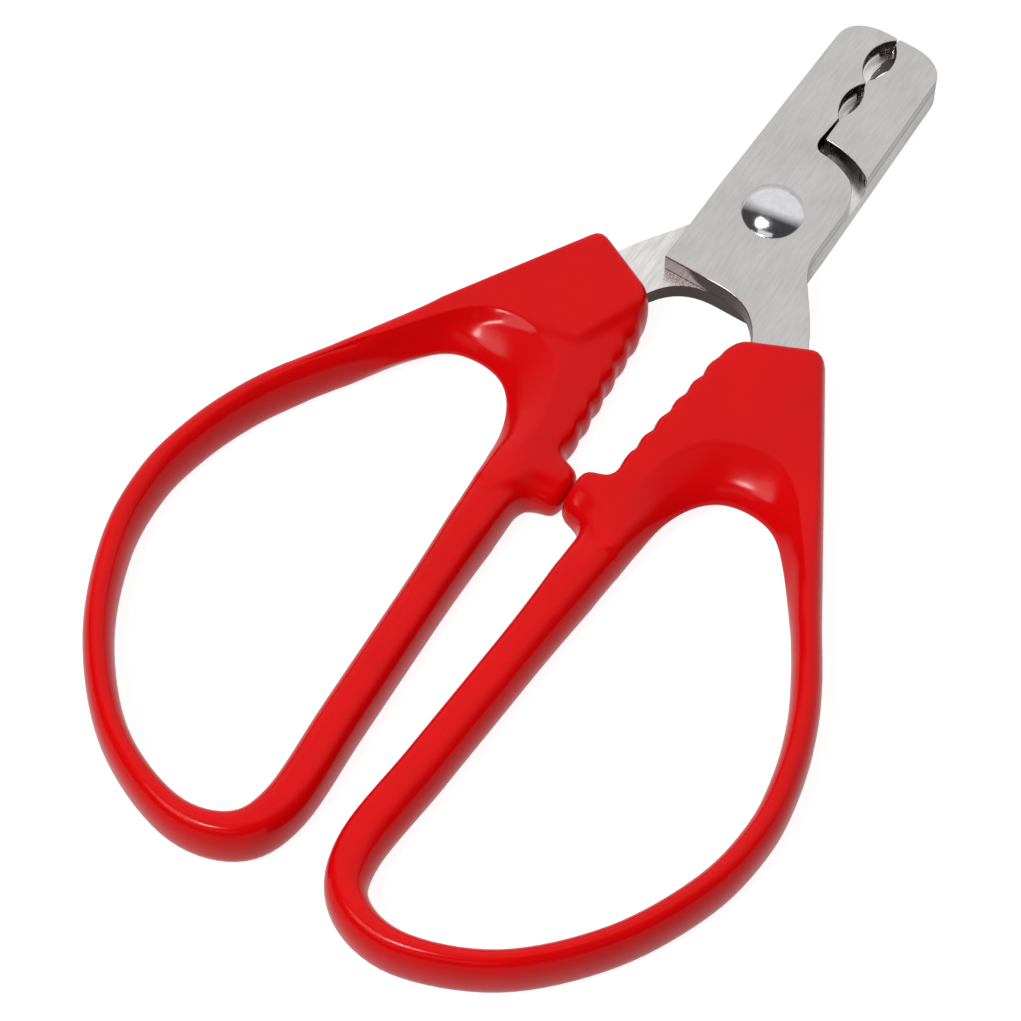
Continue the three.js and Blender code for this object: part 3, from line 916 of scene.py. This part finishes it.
class CLIPPER_OT_rivet(bpy.types.Operator):
    """Turn the domed rivet and its burr"""

    bl_idname = "clipper.rivet"
    bl_label = "Rivet and Burr"

    def execute(self, context):
        chrome = polished_steel(context.scene.clipper_finish.chrome)
        own = context.scene.clipper_rivet
        head_radius = RIVET_HIGH.x - PIVOT.x
        rim = BLADE_HIGH.z + own.rim_height
        tail = dome(own.tail_radius, BURR_LOW.z, RIVET_LOW.z, 8)[::-1]
        piece = turned_piece("domed_rivet", tail + [
            (own.tail_radius, BURR_LOW.z),
            (own.shank_radius, BURR_LOW.z),
            (own.shank_radius, BLADE_HIGH.z),
            (head_radius - HEAD_CHAMFER, BLADE_HIGH.z),
            (head_radius, BLADE_HIGH.z + HEAD_CHAMFER),
            (head_radius, rim),
        ] + dome(head_radius, rim, RIVET_HIGH.z, 20))
        bpy.ops.object.shade_smooth_by_angle(angle=math.radians(35))
        hand_over(piece, "rear_half", "pivot_rivet", chrome)
        burr = node_copy("rivet_burr", "peened_burr")
        bevel = burr.modifiers.new("edges", "BEVEL")
        bevel.width = 0.1 * MM
        bevel.segments = 3
        bevel.limit_method = "ANGLE"
        apply_all(burr)
        bpy.ops.object.shade_smooth_by_angle(angle=math.radians(40))
        hand_over(burr, "rear_half", "rivet_burr", chrome)
        return {"FINISHED"}


# The point that the camera and the lights are turned to, and the camera's place round it.
TARGET = Vector((-4.5, -12.1, 4.0)) * MM
AZIMUTH = math.radians(33.2)
ELEVATION = math.radians(60.95)
DISTANCE = 0.504
LENS = 157.6

FLOOR_SIZE = 30
FLOOR_GAP = 0.02 * MM
FLOOR_GLOW_SEEN = 0.9
FLOOR_GLOW_REFLECTED = 0.45

# The sky grows from dark to bright toward this direction.
SKY_DIRECTION = (-0.15, 0.75, 0.35)
SKY_START = 0.16
SKY_END = 0.5
DARK_SKY = (0.06, 0.06, 0.065)
BRIGHT_SKY = (0.88, 0.88, 0.885)
BACKDROP = (1.0, 1.0, 1.0)


def area_light(name, place, size, power, size_y=None):
    """A lamp turned to the target: round, or oblong when it has a second size."""
    light = bpy.data.lights.new(name, "AREA")
    light.energy = power
    light.size = size
    light.shape = "DISK"
    if size_y is not None:
        light.shape = "RECTANGLE"
        light.size_y = size_y
    lamp = bpy.data.objects.new(name, light)
    bpy.context.scene.collection.objects.link(lamp)
    lamp.location = place
    lamp.rotation_mode = "QUATERNION"
    lamp.rotation_quaternion = (TARGET - Vector(place)).to_track_quat("-Z", "Y")


class CLIPPER_OT_stage(bpy.types.Operator):
    """Lay the pale floor and set the camera and the soft studio light"""

    bl_idname = "clipper.stage"
    bl_label = "Studio"

    def execute(self, context):
        scene = context.scene
        scene.view_settings.view_transform = "Standard"
        self.floor(scene)
        self.camera(scene)
        self.world(scene)
        area_light("front_softbox", (-0.04, -0.34, 0.58), 0.11, 1.5)
        area_light("front_glow", (-0.22, -0.40, 0.58), 0.36, 1.4)
        area_light("front_strip", (0.10, -0.66, 0.44), 0.6, 0.3, size_y=0.2)
        return {"FINISHED"}

    def floor(self, scene):
        deselect_all()
        bpy.ops.mesh.primitive_grid_add(x_subdivisions=8, y_subdivisions=8, size=FLOOR_SIZE,
                                        location=(0, 0, cad_box[0].z - FLOOR_GAP))
        floor = bpy.context.object
        floor.name = "floor"
        bpy.ops.object.transform_apply(location=True, rotation=True, scale=True)
        material, nodes, links, shader = new_material("pale_floor")
        shader.inputs["Base Color"].default_value = (*scene.clipper_finish.floor, 1)
        shader.inputs["Roughness"].default_value = 0.9
        shader.inputs["Specular IOR Level"].default_value = 0.1
        shader.inputs["Emission Color"].default_value = (1, 1, 1, 1)
        # The floor is lit to plain white, and its glow is lower in the object's reflections.
        path = nodes.new("ShaderNodeLightPath")
        seen = path.outputs["Is Camera Ray"]
        glow = value_range(nodes, links, seen, FLOOR_GLOW_REFLECTED, FLOOR_GLOW_SEEN)
        links.new(glow.outputs["Result"], shader.inputs["Emission Strength"])
        floor.data.materials.append(material)

    def camera(self, scene):
        camera = bpy.data.cameras.new("camera")
        holder = bpy.data.objects.new("camera", camera)
        scene.collection.objects.link(holder)
        camera.sensor_width = 36
        camera.lens = LENS
        camera.clip_start = 0.01
        camera.clip_end = 20
        back = Vector((math.sin(AZIMUTH) * math.cos(ELEVATION),
                       -math.cos(AZIMUTH) * math.cos(ELEVATION),
                       math.sin(ELEVATION)))
        holder.location = TARGET + back * DISTANCE
        holder.rotation_mode = "QUATERNION"
        holder.rotation_quaternion = (-back).to_track_quat("-Z", "Y")
        scene.camera = holder

    def world(self, scene):
        world = bpy.data.worlds.new("studio")
        scene.world = world
        world.use_nodes = True
        nodes = world.node_tree.nodes
        links = world.node_tree.links
        nodes.clear()
        output = nodes.new("ShaderNodeOutputWorld")
        background = nodes.new("ShaderNodeBackground")
        place = nodes.new("ShaderNodeTexCoord")
        toward_back = nodes.new("ShaderNodeVectorMath")
        toward_back.operation = "DOT_PRODUCT"
        links.new(place.outputs["Generated"], toward_back.inputs[0])
        toward_back.inputs[1].default_value = SKY_DIRECTION
        share = value_range(nodes, links, toward_back.outputs["Value"], 0.0, 1.0, SKY_START, SKY_END)
        sky = ramp(nodes, links, share.outputs["Result"], 0.0, 1.0, DARK_SKY, BRIGHT_SKY)
        # Behind the floor's far edge the backdrop is the same plain white.
        path = nodes.new("ShaderNodeLightPath")
        seen = path.outputs["Is Camera Ray"]
        backdrop = blended(nodes, links, seen, sky.outputs["Color"], BACKDROP)
        links.new(backdrop.outputs["Result"], background.inputs["Color"])
        background.inputs["Strength"].default_value = 1.0
        links.new(background.outputs["Background"], output.inputs["Surface"])


class CLIPPER_PT_panel(bpy.types.Panel):
    bl_label = "Nail Clipper"
    bl_idname = "CLIPPER_PT_panel"
    bl_space_type = "VIEW_3D"
    bl_region_type = "UI"
    bl_category = "Clipper"

    def draw(self, context):
        layout = self.layout
        for group_name in GROUPS:
            group = getattr(context.scene, group_name)
            box = layout.box()
            for name in group.__annotations__:
                box.prop(group, name)
        for operator in OPERATORS:
            layout.operator(operator.bl_idname)


GROUPS = {
    "clipper_handle": HandleSizes,
    "clipper_blade": BladeSizes,
    "clipper_rivet": RivetSizes,
    "clipper_finish": FinishColours,
}
OPERATORS = (CLIPPER_OT_handles, CLIPPER_OT_blades, CLIPPER_OT_rivet, CLIPPER_OT_stage)


def register():
    for group in GROUPS.values():
        bpy.utils.register_class(group)
    for name, group in GROUPS.items():
        setattr(bpy.types.Scene, name, PointerProperty(type=group))
    for operator in OPERATORS:
        bpy.utils.register_class(operator)
    bpy.utils.register_class(CLIPPER_PT_panel)


def unregister():
    bpy.utils.unregister_class(CLIPPER_PT_panel)
    for operator in reversed(OPERATORS):
        bpy.utils.unregister_class(operator)
    for name in GROUPS:
        delattr(bpy.types.Scene, name)
    for group in reversed(list(GROUPS.values())):
        bpy.utils.unregister_class(group)


def main():
    register()
    bpy.ops.clipper.handles()
    bpy.ops.clipper.blades()
    bpy.ops.clipper.rivet()
    bpy.ops.clipper.stage()


if __name__ == "__main__":
    main()
